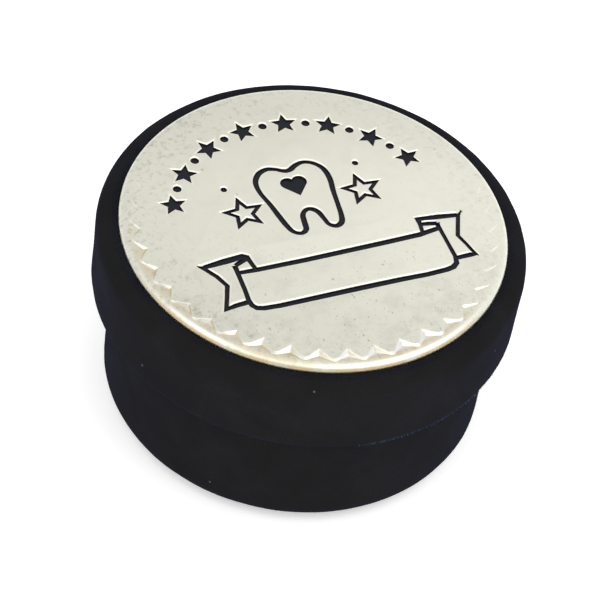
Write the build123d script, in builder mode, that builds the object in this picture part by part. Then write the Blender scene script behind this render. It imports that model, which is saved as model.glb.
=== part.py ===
from build123d import *
import os
from math import cos, radians, sin

# Round keepsake box for a first tooth, in millimetres.
#
# A moulded cup and a slip-on cap are both wrapped in velvet that is turned in over their
# rims. The cap carries a stamped pewter plate whose raised field has a scalloped edge, and
# each half holds a small cushion of foam on a card, drawn over with satin.
#
# The origin is on the floor at the centre of the base, +Z is up, and +X is the direction
# in which the plate reads.

# Cloth, glue and card
velvet = 0.5  # pile and backing together
satin = 0.35
glue = 0.05  # gap that a film of glue fills between two bonded pieces
pad_card = 0.8  # stiff card under each cushion
lining_card = 0.5  # band of satin-faced card inside the base
lining_edge_round = 0.15

# Both mouldings
rim_flat = 0.1  # what the two rounds of a rim leave flat between them

# Base
base_diameter = 45.4  # over the velvet
base_height = 24.3  # floor to the velvet on the rim
base_wall = 1.2
base_corner = 2.2  # outside radius of the cup's bottom corner
base_hem = 5.0  # velvet turned down inside the rim
base_under_hem = 5.0  # width of the ring of velvet turned in under the floor
lining_drop = 1.6  # from the velvet rim down to the lining's top edge

# Felt sole
sole_thickness = 0.8  # more than the velvet, so that the sole alone meets the floor
sole_gap = 0.3  # between the sole and the ring of velvet round it
sole_edge_round = 0.2

# Lid
slip = 0.25  # free play round the base, on the radius
seat_gap = 0.2  # between the base's rim and the cap above it
lid_height = 10.0
lid_wall = 0.95
lid_corner = 1.45  # outside radius of the cap's top corner
lid_hem_drop = 1.5  # from the cap's ceiling down to the edge of the velvet turned up inside

# Cushions
pad_gap = 0.3  # between the base cushion and the lining round it
lid_pad_gap = 0.65  # between the lid cushion and that lining, so that the lid slips on
pad_hem = 4.0  # satin turned in under the card
pad_tuck_share = 0.25  # how far the satin draws the side in, as a share of its height
pad_shoulder_share = 0.4  # radius of the top edge, as a share of the same height
base_pad_side = 3.2
base_pad_crown = 1.6
lid_pad_side = 1.9
lid_pad_crown = 0.9

# Pewter plate
plate_diameter = 45.0
plate_gauge = 0.5  # thickness of the stamped sheet
plate_lip = 1.0  # width of the edge that is turned down round the tape
plate_edge_round_share = 0.8  # of the height of the turned-down edge
tape_thickness = 0.2
tape_margin = 0.4  # between the tape and the turned-down edge
field_relief = 0.25  # height of the raised field above the border
field_border = 0.88  # from the plate's edge in to the point that a scallop's sides aim at
scallop_count = 40
scallop_turn = 1.35  # angle from +X to the middle of the first scallop
scallop_depth = 1.95  # from that point in to the cusp, along the field's edge
scallop_foot_depth = 1.2  # the same along the foot of the slope round the field
scallop_round = 0.75  # radius of a scallop's tip

# Radii and heights that follow from the sizes above, from the floor up
base_radius = base_diameter / 2
base_cup_radius = base_radius - velvet - glue
base_cup_inner = base_cup_radius - base_wall
base_cup_bottom = sole_thickness + glue
base_cup_floor = base_cup_bottom + base_wall
base_cup_rim = base_height - velvet - glue
under_hem_inner = base_radius - base_under_hem

lining_radius = base_cup_inner - glue - velvet - glue
lining_inner = lining_radius - lining_card
lining_bottom = base_cup_floor + base_corner - base_wall  # above the cup's inside corner
lining_top = base_height - lining_drop

lid_cap_inner = base_radius + slip + velvet + glue
lid_cap_radius = lid_cap_inner + lid_wall
lid_cap_ceiling = base_height + seat_gap
lid_cap_top = lid_cap_ceiling + lid_wall
lid_top = lid_cap_top + glue + velvet
lid_cap_bottom = lid_top - lid_height + velvet + glue

plate_radius = plate_diameter / 2
plate_lip_inner = plate_radius - plate_lip
plate_bottom = lid_top + glue
plate_under = plate_bottom + tape_thickness + glue
plate_border_top = plate_under + plate_gauge
plate_field_top = plate_border_top + field_relief
scallop_reach = plate_radius - field_border

half_plane = Plane.XZ  # holds each half section that is turned round Z
base_pad_plane = Plane((0, 0, base_cup_floor + glue), x_dir=(1, 0, 0), z_dir=(0, -1, 0))
lid_pad_plane = Plane((0, 0, lid_cap_ceiling - glue), x_dir=(1, 0, 0), z_dir=(0, 1, 0))
base_pad_size = (lining_inner - pad_gap, base_pad_side, base_pad_crown)
lid_pad_size = (lining_inner - lid_pad_gap, lid_pad_side, lid_pad_crown)


def shell_section(closed_z, radius, rim_z, wall, corner):
    """Half section of a round moulding of even wall, closed at one height and open at the other."""
    inward = Side.LEFT if rim_z > closed_z else Side.RIGHT
    with BuildSketch(half_plane) as section:
        with BuildLine():
            FilletPolyline((0, closed_z), (radius, closed_z), (radius, rim_z), radius=[corner])
            offset(amount=wall, side=inward, closed=True)
        make_face()
        rim_edges = section.vertices().sort_by(Axis.Y, reverse=rim_z > closed_z)[:2]
        fillet(rim_edges, (wall - rim_flat) / 2)
    return section.sketch


def wrap_section(path, corners, outward):
    """Half section of velvet laid along a path, on the side away from the moulding."""
    with BuildSketch(half_plane) as section:
        with BuildLine():
            FilletPolyline(*path, radius=corners)
            offset(amount=velvet, side=outward, closed=True)
        make_face()
    return section.sketch


def pad_outline(radius, side, crown, inset):
    """Half section of a cushion that lies on y = 0, drawn in all round by the inset."""
    tuck = side * pad_tuck_share
    with BuildSketch() as outline:
        with BuildLine() as skin:
            under = Line((0, 0), (radius - tuck, 0))
            bulge = ThreePointArc(under @ 1, (radius, side / 2), (radius - tuck, side))
            TangentArc((0, side + crown), bulge @ 1, tangent=(1, 0))
            shoulder = skin.vertices().sort_by_distance(bulge @ 1)[0]
            fillet(shoulder, side * pad_shoulder_share)
            if inset:
                offset(amount=inset, side=Side.LEFT, closed=False, mode=Mode.REPLACE)
            Line(skin.wire() @ 1, skin.wire() @ 0)
        make_face()
    return outline.sketch


def pad_cover_section(plane, radius, side, crown):
    """Satin drawn over a cushion, open under the card."""
    with BuildSketch(plane) as section:
        add(pad_outline(radius, side, crown, 0))
        add(pad_outline(radius, side, crown, satin), mode=Mode.SUBTRACT)
        Rectangle(
            radius - side * pad_tuck_share - pad_hem,
            satin,
            align=(Align.MIN, Align.MIN),
            mode=Mode.SUBTRACT,
        )
    return section.sketch


def pad_foam_section(plane, radius, side, crown):
    """Foam that fills the satin above the card."""
    inside = satin + glue
    with BuildSketch(plane) as section:
        add(pad_outline(radius, side, crown, inside))
        Rectangle(
            radius, inside + pad_card + glue, align=(Align.MIN, Align.MIN), mode=Mode.SUBTRACT
        )
    return section.sketch


def pad_card_section(plane, radius, side):
    """The stiff card that the satin is turned in under."""
    inside = satin + glue
    with BuildSketch(plane) as section:
        with Locations((0, inside)):
            Rectangle(
                radius - side * pad_tuck_share - inside, pad_card, align=(Align.MIN, Align.MIN)
            )
    return section.sketch


def scalloped_face(height, depth):
    """A disc whose edge is a ring of scallops with straight sides, round tips and sharp cusps."""
    step = 360 / scallop_count
    corners = []
    for n in range(scallop_count):
        for turn, reach in ((n * step, scallop_reach), ((n + 1 / 2) * step, scallop_reach - depth)):
            angle = radians(scallop_turn + turn)
            corners.append((reach * cos(angle), reach * sin(angle)))
    with BuildSketch(Plane.XY.offset(height)) as face:
        with BuildLine():
            Polyline(*corners, close=True)
        make_face()
        fillet(face.vertices().sort_by_distance((0, 0))[-scallop_count:], scallop_round)
    return face.sketch


# The base: cup, velvet, sole, lining and cushion
with BuildPart() as base_cup:
    revolve(
        shell_section(base_cup_bottom, base_cup_radius, base_cup_rim, base_wall, base_corner),
        axis=Axis.Z,
    )

with BuildPart() as base_velvet:
    base_path = [
        (under_hem_inner, base_cup_bottom - glue),
        (base_cup_radius + glue, base_cup_bottom - glue),
        (base_cup_radius + glue, base_cup_rim + glue),
        (base_cup_inner - glue, base_cup_rim + glue),
        (base_cup_inner - glue, base_cup_rim + glue - base_hem),
    ]
    base_rim_round = (base_wall - rim_flat) / 2 + glue
    base_corners = [base_corner + glue, base_rim_round, base_rim_round]
    revolve(wrap_section(base_path, base_corners, Side.RIGHT), axis=Axis.Z)

with BuildPart() as base_sole:
    with BuildSketch():
        Circle(under_hem_inner - sole_gap)
    extrude(amount=sole_thickness)
    fillet(base_sole.edges().group_by(Axis.Z)[0], sole_edge_round)

with BuildPart() as base_lining:
    with BuildSketch(Plane.XY.offset(lining_bottom)):
        Circle(lining_radius)
        Circle(lining_inner, mode=Mode.SUBTRACT)
    extrude(amount=lining_top - lining_bottom)
    fillet(base_lining.edges().group_by(Axis.Z)[-1], lining_edge_round)

with BuildPart() as base_pad_cover:
    revolve(pad_cover_section(base_pad_plane, *base_pad_size), axis=Axis.Z)

with BuildPart() as base_pad_foam:
    revolve(pad_foam_section(base_pad_plane, *base_pad_size), axis=Axis.Z)

with BuildPart() as base_pad_card:
    revolve(pad_card_section(base_pad_plane, *base_pad_size[:2]), axis=Axis.Z)

# The lid: cap, velvet and cushion
with BuildPart() as lid_cap:
    revolve(
        shell_section(lid_cap_top, lid_cap_radius, lid_cap_bottom, lid_wall, lid_corner),
        axis=Axis.Z,
    )

with BuildPart() as lid_velvet:
    lid_path = [
        (0, lid_cap_top + glue),
        (lid_cap_radius + glue, lid_cap_top + glue),
        (lid_cap_radius + glue, lid_cap_bottom - glue),
        (lid_cap_inner - glue, lid_cap_bottom - glue),
        (lid_cap_inner - glue, lid_cap_ceiling - lid_hem_drop),
    ]
    lid_rim_round = (lid_wall - rim_flat) / 2 + glue
    lid_corners = [lid_corner + glue, lid_rim_round, lid_rim_round]
    revolve(wrap_section(lid_path, lid_corners, Side.LEFT), axis=Axis.Z)

with BuildPart() as lid_pad_cover:
    revolve(pad_cover_section(lid_pad_plane, *lid_pad_size), axis=Axis.Z)

with BuildPart() as lid_pad_foam:
    revolve(pad_foam_section(lid_pad_plane, *lid_pad_size), axis=Axis.Z)

with BuildPart() as lid_pad_card:
    revolve(pad_card_section(lid_pad_plane, *lid_pad_size[:2]), axis=Axis.Z)

# The plate on the lid, and the tape that holds it
with BuildPart() as plate_tape:
    with BuildSketch(Plane.XY.offset(plate_bottom)):
        Circle(plate_lip_inner - tape_margin)
    extrude(amount=tape_thickness)

with BuildPart() as pewter_plate:
    with BuildSketch(half_plane) as plate_section:
        with BuildLine():
            Polyline(
                (0, plate_under),
                (plate_lip_inner, plate_under),
                (plate_lip_inner, plate_bottom),
                (plate_radius, plate_bottom),
                (plate_radius, plate_border_top),
                (0, plate_border_top),
                close=True,
            )
        make_face()
        outer_edge = plate_section.vertices().group_by(Axis.X)[-1].sort_by(Axis.Y)[-1]
        fillet(outer_edge, (plate_border_top - plate_bottom) * plate_edge_round_share)
    revolve(axis=Axis.Z)
    field_foot = scalloped_face(plate_border_top, scallop_foot_depth)
    field_face = scalloped_face(plate_field_top, scallop_depth)
    loft([field_foot, field_face], ruled=True)

pieces = {
    "base_cup": base_cup,
    "base_velvet": base_velvet,
    "base_sole": base_sole,
    "base_lining": base_lining,
    "base_pad_cover": base_pad_cover,
    "base_pad_foam": base_pad_foam,
    "base_pad_card": base_pad_card,
    "lid_cap": lid_cap,
    "lid_velvet": lid_velvet,
    "lid_pad_cover": lid_pad_cover,
    "lid_pad_foam": lid_pad_foam,
    "lid_pad_card": lid_pad_card,
    "plate_tape": plate_tape,
    "pewter_plate": pewter_plate,
}

os.makedirs("parts", exist_ok=True)
for name, piece in pieces.items():
    piece.part.label = name
    export_step(piece.part, f"parts/{name}.step")
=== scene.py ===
"""Looks of a round baby tooth box: a velvet base, a velvet slip lid and a stamped pewter plate on it.

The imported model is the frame. Places and sizes are in metres, written as millimetres times mm.
The finishes come first, then the pieces, the camera, the stage and the lights.
"""

import math
import random

import bmesh
import bpy
import numpy as np
from mathutils import Matrix, Vector, noise


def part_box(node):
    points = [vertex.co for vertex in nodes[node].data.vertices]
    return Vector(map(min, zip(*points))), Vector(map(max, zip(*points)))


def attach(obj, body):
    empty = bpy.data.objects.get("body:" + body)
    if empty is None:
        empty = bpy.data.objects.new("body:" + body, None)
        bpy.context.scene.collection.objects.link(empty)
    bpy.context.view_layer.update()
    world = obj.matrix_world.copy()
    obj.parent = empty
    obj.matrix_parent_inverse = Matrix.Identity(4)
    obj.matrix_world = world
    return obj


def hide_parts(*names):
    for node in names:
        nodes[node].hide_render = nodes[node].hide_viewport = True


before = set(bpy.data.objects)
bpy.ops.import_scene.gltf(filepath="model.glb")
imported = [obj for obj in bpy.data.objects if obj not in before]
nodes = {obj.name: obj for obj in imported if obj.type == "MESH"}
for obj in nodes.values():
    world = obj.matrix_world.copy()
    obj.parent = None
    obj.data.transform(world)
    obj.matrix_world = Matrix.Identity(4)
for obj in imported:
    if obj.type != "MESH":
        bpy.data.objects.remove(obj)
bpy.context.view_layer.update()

mm = 0.001
full_turn = 2 * math.pi

# Places read from the frame
plate_low, plate_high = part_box("pewter_plate")
lid_low, lid_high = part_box("lid_velvet")
base_low, base_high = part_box("base_velvet")
sole_low, sole_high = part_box("base_sole")
lining_low, lining_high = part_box("base_lining")
base_pad_low, base_pad_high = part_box("base_pad_cover")
lid_pad_low, lid_pad_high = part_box("lid_pad_cover")


# Mesh helpers


def new_object(name, data):
    """An object of that data, in the scene."""
    thing = bpy.data.objects.new(name, data)
    bpy.context.scene.collection.objects.link(thing)
    return thing


def even_angles(steps):
    """That many angles, evenly all round from 0."""
    return np.arange(steps) * full_turn / steps


def mesh_piece(name, points, faces, finishes):
    """A smooth mesh object at the origin, its normals outward, with its finishes in order."""
    mesh = bpy.data.meshes.new(name)
    mesh.from_pydata([tuple(p) for p in points], [], faces)
    shape = bmesh.new()
    shape.from_mesh(mesh)
    bmesh.ops.recalc_face_normals(shape, faces=shape.faces)
    shape.to_mesh(mesh)
    shape.free()
    for finish in finishes:
        mesh.materials.append(finish)
    mesh.polygons.foreach_set("use_smooth", np.ones(len(mesh.polygons), dtype=bool))
    return new_object(name, mesh)


def strip(first, first_count, second, second_count):
    """Triangles or quads between two closed rings, which may have different numbers of points."""
    if first_count == second_count:
        turns = [(i, (i + 1) % first_count) for i in range(first_count)]
        return [(first + i, second + i, second + j, first + j) for i, j in turns]
    faces = []
    i = j = 0
    while i < first_count or j < second_count:
        a, b = first + i % first_count, second + j % second_count
        if (i + 1) * second_count < (j + 1) * first_count:
            faces.append((a, b, first + (i + 1) % first_count))
            i += 1
        else:
            faces.append((a, b, second + (j + 1) % second_count))
            j += 1
    return faces


def turned(name, rings, finishes, steps, loop=False):
    """A skin round Z through rings of (radius, height), each one number or one for every step.

    A ring of radius 0 closes the skin in a pole, and loop joins the last ring to the first.
    """
    angles = even_angles(steps)
    points, starts, counts = [], [], []
    for radius, height in rings:
        starts.append(len(points))
        pole = np.isscalar(radius) and radius == 0
        counts.append(1 if pole else steps)
        if pole:
            points.append((0.0, 0.0, height))
            continue
        x, y = radius * np.cos(angles), radius * np.sin(angles)
        points.extend(zip(x, y, np.broadcast_to(height, steps)))
    pairs = list(zip(range(len(rings) - 1), range(1, len(rings))))
    if loop:
        pairs.append((len(rings) - 1, 0))
    faces = []
    for a, b in pairs:
        if counts[a] == 1:
            faces += [(starts[a], starts[b] + i, starts[b] + (i + 1) % steps) for i in range(steps)]
        elif counts[b] == 1:
            faces += [(starts[a] + i, starts[b], starts[a] + (i + 1) % steps) for i in range(steps)]
        else:
            faces += strip(starts[a], steps, starts[b], steps)
    return mesh_piece(name, points, faces, finishes)


def arc(middle, radius, start, end, count):
    """Points (r, z) along an arc of a profile, its ends in degrees."""
    turns = np.radians(np.linspace(start, end, count))
    return [(middle[0] + radius * math.cos(t), middle[1] + radius * math.sin(t)) for t in turns]


def spaced(path, gap):
    """The points of a profile again, with more of them wherever two are further apart than gap."""
    points = [path[0]]
    for (r0, z0), (r1, z1) in zip(path, path[1:]):
        parts = max(1, math.ceil(math.hypot(r1 - r0, z1 - z0) / gap))
        points += [(r0 + (r1 - r0) * k / parts, z0 + (z1 - z0) * k / parts) for k in range(1, parts + 1)]
    return points


def frozen(piece, name):
    """The piece with its modifiers applied, as a plain mesh object of that name."""
    seen = piece.evaluated_get(bpy.context.evaluated_depsgraph_get())
    mesh = bpy.data.meshes.new_from_object(seen)
    mesh.name = name
    plain = new_object(name, mesh)
    bpy.data.objects.remove(piece)
    return plain


def ruffle(position, size, depth):
    """A smooth uneven offset, repeatable, whose hollows are about size across."""
    return depth * noise.noise(Vector(position) / size)


def ruffled_ring(radius, height, size, depth, angles):
    """The ruffle round a ring, one offset for every angle."""
    places = [(radius * math.cos(a), radius * math.sin(a), height) for a in angles]
    return np.array([ruffle(place, size, depth) for place in places])


# Node helpers


class Wire:
    """An output socket. A sign between it and a number or another socket adds a maths node."""

    def __init__(self, socket):
        self.socket = socket

    def maths(self, operation, second=0.0):
        node = add_node(self.socket.id_data, "ShaderNodeMath", {"operation": operation}, (self, second))
        return Wire(node.outputs[0])

    def __add__(self, second):
        return self.maths("ADD", second)

    def __sub__(self, second):
        return self.maths("SUBTRACT", second)

    def __mul__(self, second):
        return self.maths("MULTIPLY", second)

    def ramp(self, low, high):
        """The value again, stretched so that low becomes 0 and high becomes 1."""
        node = add_node(self.socket.id_data, "ShaderNodeMapRange", Value=self, From_Min=low, From_Max=high)
        return Wire(node.outputs["Result"])


def feed(socket, value):
    """Links an input socket to a wire or an output socket, or sets it to any other value."""
    if isinstance(value, Wire):
        value = value.socket
    if isinstance(value, bpy.types.NodeSocket):
        socket.id_data.links.new(value, socket)
    else:
        socket.default_value = value


def add_node(tree, kind, settings=None, first=(), **values):
    """A node in the tree: settings are its properties, first and values go to its input sockets."""
    node = tree.nodes.new(kind)
    for key, value in (settings or {}).items():
        setattr(node, key, value)
    for socket, value in zip(node.inputs, first):
        feed(socket, value)
    for label, value in values.items():
        feed(node.inputs[label.replace("_", " ")], value)
    return node


def blended(share, first, second):
    """The colour between first and second, each a colour or a wire, by a share that is a wire."""
    node = add_node(share.socket.id_data, "ShaderNodeMix", {"data_type": "RGBA"}, (share,))
    feed(node.inputs[6], first)
    feed(node.inputs[7], second)
    return Wire(node.outputs[2])


def object_place(tree):
    return add_node(tree, "ShaderNodeTexCoord").outputs["Object"]


def speckle(place, scale, detail=2.0, roughness=0.5, distortion=0.0):
    """A noise pattern on a place, with scale in features a metre."""
    node = add_node(
        place.id_data, "ShaderNodeTexNoise", Vector=place, Scale=scale, Detail=detail, Roughness=roughness,
        Distortion=distortion,
    )
    return Wire(node.outputs["Fac"])


def chosen_cells(place, scale, share, edge, core):
    """A mask over a share of a pattern's cells: 0 from edge outward and 1 from core inward."""
    cells = add_node(place.id_data, "ShaderNodeTexVoronoi", Vector=place, Scale=scale, Randomness=1.0)
    colour = add_node(place.id_data, "ShaderNodeSeparateColor", None, (cells.outputs["Color"],))
    chosen = Wire(colour.outputs[0]).maths("LESS_THAN", share)
    return Wire(cells.outputs["Distance"]).ramp(edge, core) * chosen


def reach_along(place, direction):
    """How far a place lies along a direction."""
    node = add_node(place.id_data, "ShaderNodeVectorMath", {"operation": "DOT_PRODUCT"}, (place, direction))
    return Wire(node.outputs["Value"])


def reach_from_axis(place):
    """How far a place lies from the box's axis."""
    flat = add_node(place.id_data, "ShaderNodeVectorMath", {"operation": "MULTIPLY"}, (place, (1, 1, 0)))
    node = add_node(place.id_data, "ShaderNodeVectorMath", {"operation": "LENGTH"}, (flat.outputs[0],))
    return Wire(node.outputs["Value"])


def new_group(name, numbers, outputs):
    """A shader node group on a place, with number inputs and outputs, and their sockets inside it."""
    tree = bpy.data.node_groups.new(name, "ShaderNodeTree")
    tree.interface.new_socket("Place", in_out="INPUT", socket_type="NodeSocketVector")
    for label in numbers:
        tree.interface.new_socket(label, in_out="INPUT", socket_type="NodeSocketFloat")
    for label in outputs:
        tree.interface.new_socket(label, in_out="OUTPUT", socket_type="NodeSocketFloat")
    return tree, tree.nodes.new("NodeGroupInput").outputs, tree.nodes.new("NodeGroupOutput").inputs


def effect(tree, group, place=None, **values):
    """The outputs of a shared effect as wires, on the object's own place or another one."""
    if place is None:
        place = object_place(tree)
    node = add_node(tree, "ShaderNodeGroup", {"node_tree": group}, Place=place, **values)
    return [Wire(socket) for socket in node.outputs]


def new_material(name, **values):
    """A material with a Principled shader, whose sockets take the values, and its tree."""
    material = bpy.data.materials.new(name)
    material.use_nodes = True
    shader = material.node_tree.nodes["Principled BSDF"]
    for label, value in values.items():
        shader.inputs[label.replace("_", " ")].default_value = value
    return material, material.node_tree, shader


def dress(shader, colour, roughness, height, lift):
    """Colour and roughness for a shader; height, from 0 to 1, lifts the surface by lift."""
    bump = add_node(shader.id_data, "ShaderNodeBump", Distance=lift, Strength=1.0, Height=height)
    feed(shader.inputs["Base Color"], colour)
    feed(shader.inputs["Roughness"], roughness)
    feed(shader.inputs["Normal"], bump.outputs["Normal"])


# Shared effects


def make_grain():
    """Fine uneven grain with slow clouds in it, for metal, plastic, card and foam."""
    tree, given, out = new_group("fine_grain", ("Grain scale", "Cloud scale"), ("Grain", "Clouds"))
    feed(out["Grain"], speckle(given["Place"], given["Grain scale"], 3.0, 0.6))
    feed(out["Clouds"], speckle(given["Place"], given["Cloud scale"], 4.0, 0.6))
    return tree


def make_pits():
    """Sparse small pits, round and uneven, as a mask that is 1 in a pit."""
    tree, given, out = new_group("sparse_pits", ("Scale", "Share"), ("Pits",))
    feed(out["Pits"], chosen_cells(given["Place"], given["Scale"], given["Share"], edge=0.34, core=0.1))
    return tree


def make_weave():
    """Threads over and under in a satin float, on a place in metres, as a height and a tone."""
    tree, given, out = new_group("satin_weave", ("Threads",), ("Height", "Slubs"))
    split = add_node(tree, "ShaderNodeSeparateXYZ", None, (given["Place"],))
    along = Wire(split.outputs[0]) * given["Threads"]
    across = Wire(split.outputs[1]) * given["Threads"]
    warp = (along * math.pi).maths("SINE").maths("ABSOLUTE")
    float_ends = ((along * 0.4 + across * 0.2) * math.pi).maths("SINE").maths("ABSOLUTE")
    feed(out["Height"], warp * (float_ends * 0.5 + 0.5))
    stretched = add_node(tree, "ShaderNodeMapping", Vector=given["Place"], Scale=(6.0, 0.35, 1.0))
    feed(out["Slubs"], speckle(stretched.outputs[0], 900.0))
    return tree


def make_nap():
    """The pile of velvet or the fibres of felt: tufts, crushed places and specks of lint."""
    numbers, outputs = ("Tuft scale", "Crush scale", "Lint"), ("Tufts", "Crush", "Specks")
    tree, given, out = new_group("cloth_nap", numbers, outputs)
    place = given["Place"]
    feed(out["Tufts"], speckle(place, given["Tuft scale"], 3.0, 0.7))
    feed(out["Crush"], speckle(place, given["Crush scale"], 2.5, 0.55, distortion=0.6).ramp(0.35, 0.68))
    feed(out["Specks"], chosen_cells(place, 420.0, given["Lint"], edge=0.075, core=0.03))
    return tree


grain_group = make_grain()
pit_group = make_pits()
weave_group = make_weave()
nap_group = make_nap()


# Finishes


def pewter(name, colour, shade, roughness, tan_share, painted_side_light):
    """Pewter with smudges, flecks and pits, most of the pits near the front, where it is worn.

    It is painted darker toward the front and the back and lighter toward the right, as shade and light. It is
    tan with patina and painted shade where one attribute says so, and painted bright as a highlight where the
    other does.
    """
    material, tree, shader = new_material(name, Metallic=1.0)
    place = object_place(tree)
    grain, clouds = effect(tree, grain_group, place, Grain_scale=2600.0, Cloud_scale=300.0)
    toward_front = reach_along(place, (-0.25, -0.97, 0.0))
    toward_left = reach_along(place, (-1.0, 0.3, 0.0))
    worn = toward_front.ramp(0.001, 0.014) * clouds.ramp(0.3, 0.6)

    # A few large pits everywhere, and small drawn-out ones of three kinds where it is worn
    (large,) = effect(tree, pit_group, place, Scale=1250.0, Share=0.025)
    small = None
    kinds = ((0.5, 2900.0, 0.4, 0.8), (1.35, 3700.0, 0.35, 0.55), (-0.4, 2200.0, 0.16, 1.0))
    for turn, scale, share, depth in kinds:
        drawn = add_node(
            tree, "ShaderNodeMapping", Vector=place, Scale=(1.0, 0.5, 1.0), Rotation=(0, 0, turn)
        )
        (marks,) = effect(tree, pit_group, drawn.outputs[0], Scale=scale, Share=share)
        small = marks * depth if small is None else small.maths("MAXIMUM", marks * depth)
    pits = (large * 0.6).maths("MAXIMUM", small * (worn * 0.75 + 0.1))

    # Dull places: smudges, painted shade toward the front and the back, flecks toward the rim, and pits
    dull = speckle(place, 420.0, detail=5.0, roughness=0.65).ramp(0.47, 0.75) * (worn * 0.2 + 0.08)
    dull += toward_front.ramp(0.004, 0.016) * 0.14 + toward_front.ramp(-0.006, -0.018) * 0.16
    flecks = speckle(place, 1500.0, roughness=0.6).ramp(0.52, 0.74) * reach_from_axis(place).ramp(0.014, 0.02)
    dull += flecks * (toward_left.ramp(0.0, 0.016) * 0.3 + 0.2)
    dull = dull.maths("MAXIMUM", pits)

    # Painted light: the colour is lighter toward the right, where the lights fall.
    side_light_share = toward_left.ramp(0.03, -0.012) * painted_side_light
    bright = blended(side_light_share, colour, tuple(min(1.0, c * 1.16) for c in colour))
    crease = Wire(add_node(tree, "ShaderNodeAttribute", {"attribute_name": "crease"}).outputs["Fac"])
    ridge = Wire(add_node(tree, "ShaderNodeAttribute", {"attribute_name": "ridge"}).outputs["Fac"])
    # Tan for patina and painted shade, then a painted highlight in pale metal, smoother too.
    tan = crease * clouds.ramp(0.25, 0.5) * tan_share
    tanned_and_shaded = blended(tan, blended(dull, bright, shade), (0.67, 0.52, 0.27, 1))
    highlighted = blended(ridge, tanned_and_shaded, (0.97, 0.97, 0.95, 1))
    rough = grain * 0.16 + (roughness - 0.08) - ridge * 0.1
    dress(shader, highlighted, rough, grain * 0.35 - pits, 0.006 * mm)
    return material


def grained(name, scales, tones, rough, lift, specular):
    """A plain finish: slow clouds between two tones, with a grain that dulls and lifts it."""
    material, tree, shader = new_material(name, Specular_IOR_Level=specular)
    grain, clouds = effect(tree, grain_group, Grain_scale=scales[0], Cloud_scale=scales[1])
    dress(shader, blended(clouds, *tones), grain.ramp(*rough), grain, lift)
    return material


def navy_velvet(name, deep, lit):
    """Crushed navy velvet: nearly black into the pile, bluer where it is crushed or seen along it."""
    material, tree, shader = new_material(
        name, Specular_IOR_Level=0.0, Sheen_Weight=0.045, Sheen_Roughness=0.36,
        Sheen_Tint=(0.25, 0.28, 0.85, 1),
    )
    tufts, crush, specks = effect(tree, nap_group, Tuft_scale=5200.0, Crush_scale=150.0, Lint=0.1)
    pile = blended(crush * tufts.ramp(0.3, 0.75), deep, lit)
    linted = blended(specks, pile, (0.1, 0.11, 0.17, 1))
    dress(shader, linted, tufts.ramp(-0.6, 1.0), tufts + crush * 0.8, 0.05 * mm)
    return material


def black_felt():
    """Pressed felt: short matted fibres in two near-black tones."""
    material, tree, shader = new_material(
        "black_felt", Specular_IOR_Level=0.1, Sheen_Weight=0.15, Sheen_Roughness=0.6
    )
    tufts, crush, specks = effect(tree, nap_group, Tuft_scale=3600.0, Crush_scale=620.0, Lint=0.02)
    tone = blended(tufts, (0.006, 0.006, 0.009, 1), (0.03, 0.03, 0.038, 1))
    linted = blended(specks, tone, (0.3, 0.3, 0.3, 1))
    dress(shader, linted, tufts.ramp(-1.0, 1.0), tufts + crush * 0.4, 0.08 * mm)
    return material


def ivory_satin(name, from_own_map):
    """Ivory satin: long floats of thread with a soft gloss, and slubs along the warp."""
    material, tree, shader = new_material(name, Sheen_Weight=0.25, Sheen_Roughness=0.3)
    place = add_node(tree, "ShaderNodeUVMap").outputs["UV"] if from_own_map else None
    threads, slubs = effect(tree, weave_group, place, Threads=5500.0)
    tone = blended(slubs, (0.72, 0.66, 0.53, 1), (0.86, 0.82, 0.72, 1))
    dress(shader, tone, slubs.ramp(-0.75, 1.9), threads + slubs, 0.012 * mm)
    return material


def grey_card():
    """Pressed grey card with short fibres and flecks."""
    material, tree, shader = new_material("grey_card", Specular_IOR_Level=0.2)
    grain, clouds = effect(tree, grain_group, Grain_scale=2400.0, Cloud_scale=300.0)
    (flecks,) = effect(tree, pit_group, Scale=1600.0, Share=0.1)
    tone = blended(grain, (0.2, 0.19, 0.17, 1), (0.36, 0.34, 0.31, 1))
    dress(shader, blended(flecks, tone, (0.09, 0.08, 0.07, 1)), clouds.ramp(-2.0, 1.0), grain, 0.03 * mm)
    return material


def pad_foam():
    """Open cream foam with round pores."""
    material, tree, shader = new_material("pad_foam", Specular_IOR_Level=0.1)
    (pores,) = effect(tree, pit_group, Scale=2200.0, Share=0.75)
    grain, clouds = effect(tree, grain_group, Grain_scale=3000.0, Cloud_scale=200.0)
    # The pores are painted darker, as shade inside them.
    tone = blended(pores, (0.74, 0.68, 0.5, 1), (0.42, 0.36, 0.24, 1))
    dress(shader, tone, grain.ramp(-2.0, 1.0), pores * -1.0 + 1.0, 0.12 * mm)
    return material


def tape_scrim():
    """Double-sided tape: milky glue with a woven scrim showing through."""
    material, tree, shader = new_material("tape_scrim")
    threads, slubs = effect(tree, weave_group, Threads=1300.0)
    tone = blended(threads, (0.5, 0.47, 0.4, 1), (0.74, 0.72, 0.66, 1))
    dress(shader, tone, slubs.ramp(-0.2, 1.4), threads, 0.03 * mm)
    return material


plate_pewter = pewter(
    "plate_pewter", colour=(0.82, 0.815, 0.71, 1), shade=(0.4, 0.39, 0.33, 1), roughness=0.42,
    tan_share=0.85, painted_side_light=1.0,
)
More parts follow.
